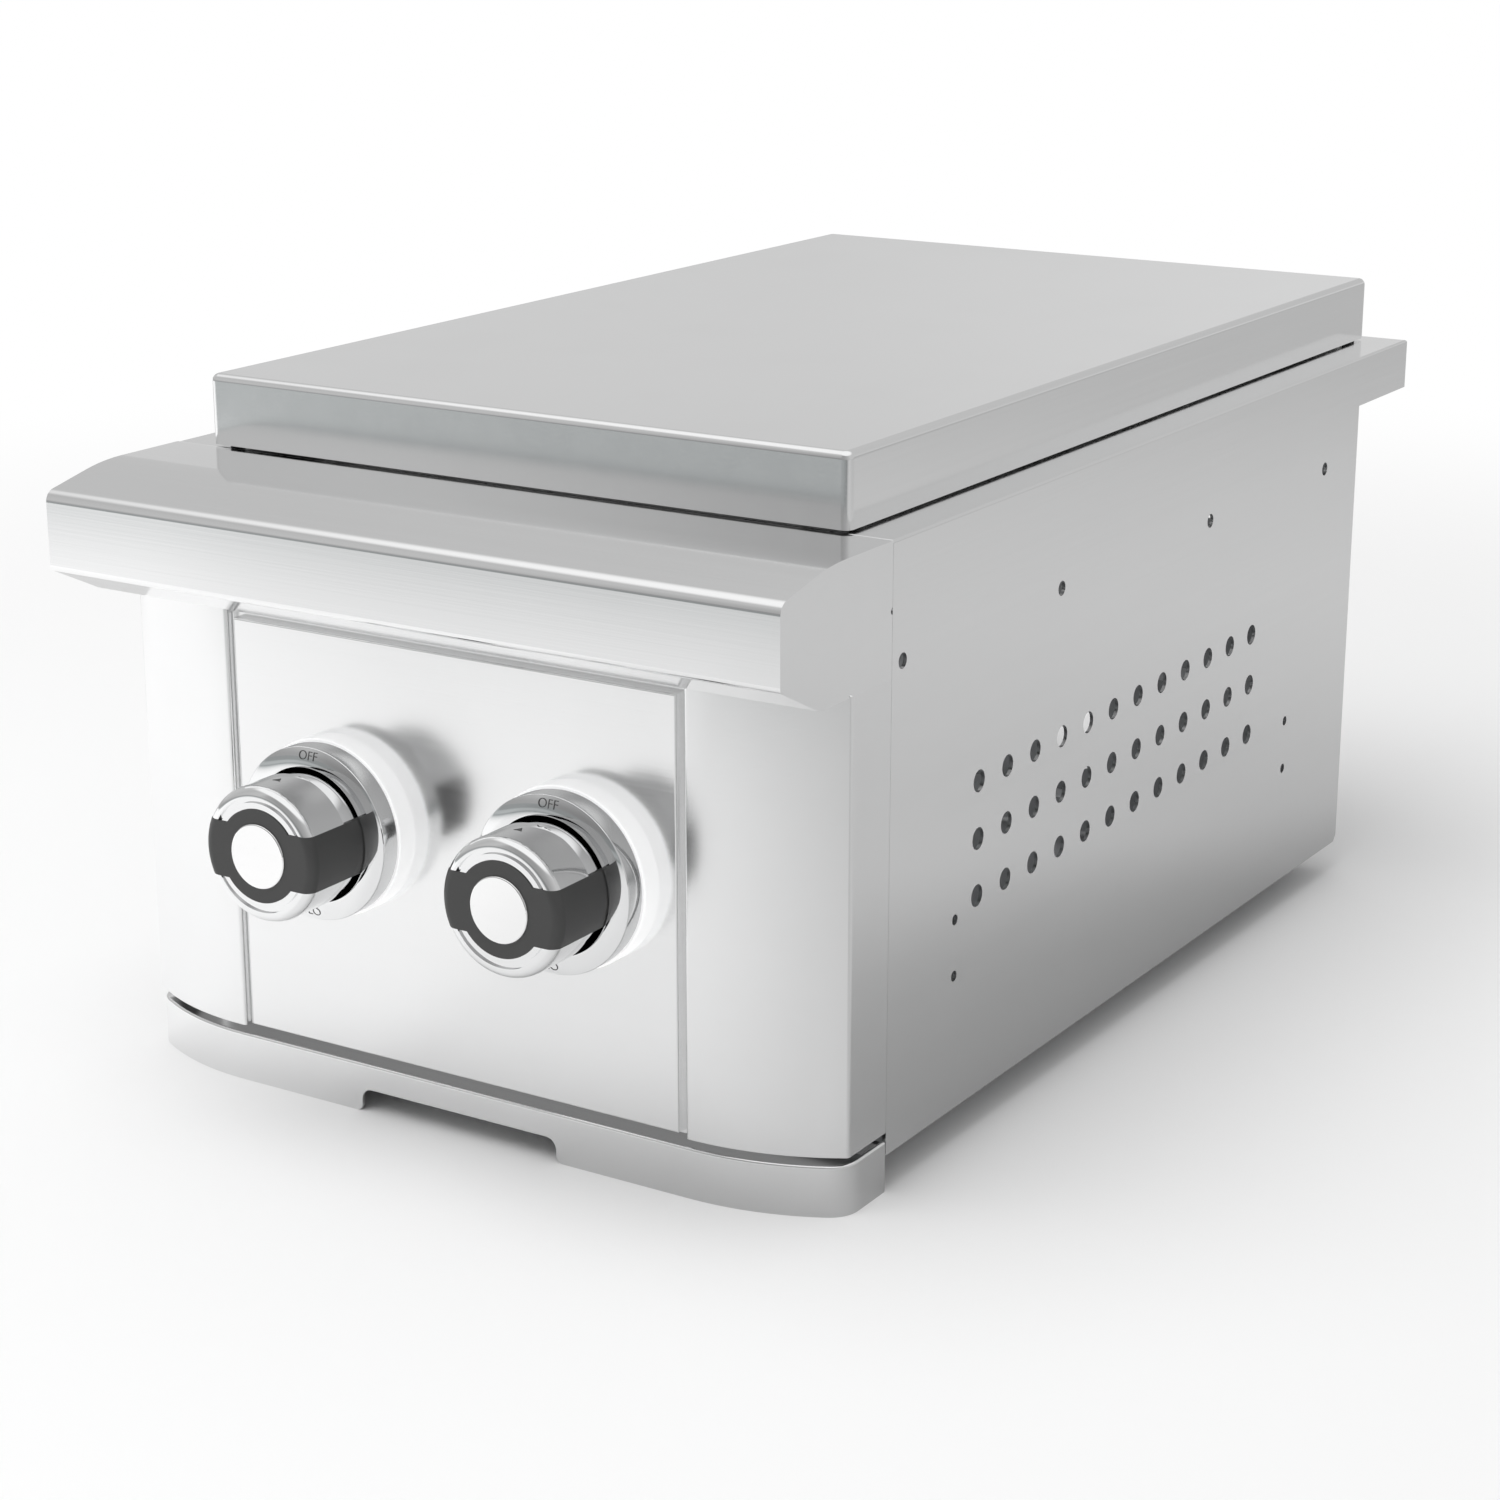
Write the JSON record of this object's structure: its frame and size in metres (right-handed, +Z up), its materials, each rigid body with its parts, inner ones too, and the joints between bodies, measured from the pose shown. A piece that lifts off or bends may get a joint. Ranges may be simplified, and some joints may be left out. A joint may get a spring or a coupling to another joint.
{
  "type": "double side burner",
  "caption": "Stainless drop-in gas side burner with a curved control panel, turning knobs, a lift-off lid over burners and grates, and a slide-out drip tray",
  "frame": {"origin": "on the surface that the burner stands on, under the middle of its outline", "axes": "+X to the right of someone facing the knobs, +Y from the knobs to the rear, +Z up"},
  "size_m": [0.343, 0.6082, 0.2878],
  "materials": {
    "casing_steel": "satin stainless sheet",
    "lid_steel": "brushed stainless sheet",
    "inner_steel": "plain coated steel sheet inside the casing",
    "chrome": "polished chrome plating",
    "grip_metal": "dark satin grip band",
    "cast_black": "black enamelled casting",
    "burner_alloy": "cast burner alloy",
    "tube_metal": "coated steel tube",
    "brass": "machined brass",
    "ceramic": null,
    "rubber": "soft rubber bumper",
    "light_ring": "milky plastic ring behind the bezel",
    "liner_black": "dark plastic cup inside the bezel"
  },
  "bodies": {
    "casing": {"top_frame": "casing_steel", "side_panel_left": "casing_steel", "side_panel_right": "casing_steel", "front_hood": "casing_steel", "wing_left": "casing_steel", "wing_right": "casing_steel", "control_panel": "casing_steel", "backing_plate": "casing_steel", "rear_panel": "casing_steel", "front_wall": "inner_steel", "cross_brace_front": "inner_steel", "cross_brace_rear": "inner_steel", "tray_rail_left": "inner_steel", "tray_rail_right": "inner_steel", "burner_pan": "inner_steel", "manifold_brackets": "inner_steel", "bezel_left": "chrome", "bezel_right": "chrome", "bonnet_screws": "chrome", "grate_front": "cast_black", "grate_rear": "cast_black", "burner_cap_front": "cast_black", "burner_cap_rear": "cast_black", "burner_head_front": "burner_alloy", "burner_head_rear": "burner_alloy", "mixer_front": "tube_metal", "mixer_rear": "tube_metal", "air_shutter_front": "tube_metal", "air_shutter_rear": "tube_metal", "manifold": "tube_metal", "gas_pipe": "tube_metal", "electrode_tips": "tube_metal", "gas_inlet": "brass", "inlet_locknut": "brass", "valve_body_left": "brass", "valve_body_right": "brass", "valve_bonnet_left": "brass", "valve_bonnet_right": "brass", "orifice_left": "brass", "orifice_right": "brass", "electrode_front": "ceramic", "electrode_rear": "ceramic", "light_ring_left": "light_ring", "light_ring_right": "light_ring", "bezel_liner_left": "liner_black", "bezel_liner_right": "liner_black"},
    "cover": {"lid": "lid_steel", "lid_bumpers": "rubber"},
    "tray": {"drip_tray": "inner_steel", "tray_apron": "casing_steel"},
    "plug_left": {"valve_plug_left": "brass"},
    "plug_right": {"valve_plug_right": "brass"},
    "control_left": {"knob_left": "chrome", "knob_grip_left": "grip_metal", "knob_button_left": "chrome", "knob_stem_left": "chrome"},
    "control_right": {"knob_right": "chrome", "knob_grip_right": "grip_metal", "knob_button_right": "chrome", "knob_stem_right": "chrome"}
  },
  "joints": [
    {"name": "lid_lift", "type": "slide", "parent": "casing", "child": "cover", "axis": [0, 0, 1], "range_m": [0, 0.12]},
    {"name": "tray_slide", "type": "slide", "parent": "casing", "child": "tray", "axis": [0, -1, 0], "range_m": [0, 0.36]},
    {"name": "left_knob_turn", "type": "hinge", "parent": "casing", "child": "plug_left", "pos_m": [-0.0536, -0.2319, 0.1237], "axis": [0, -1, 0], "range_deg": [0, 180]},
    {"name": "left_knob_push", "type": "slide", "parent": "plug_left", "child": "control_left", "axis": [0, 1, 0], "range_m": [0, 0.003], "stiffness_N_per_m": 2000, "springref_m": -0.001},
    {"name": "right_knob_turn", "type": "hinge", "parent": "casing", "child": "plug_right", "pos_m": [0.0616, -0.2319, 0.1237], "axis": [0, -1, 0], "range_deg": [0, 180]},
    {"name": "right_knob_push", "type": "slide", "parent": "plug_right", "child": "control_right", "axis": [0, 1, 0], "range_m": [0, 0.003], "stiffness_N_per_m": 2000, "springref_m": -0.001}
  ]
}
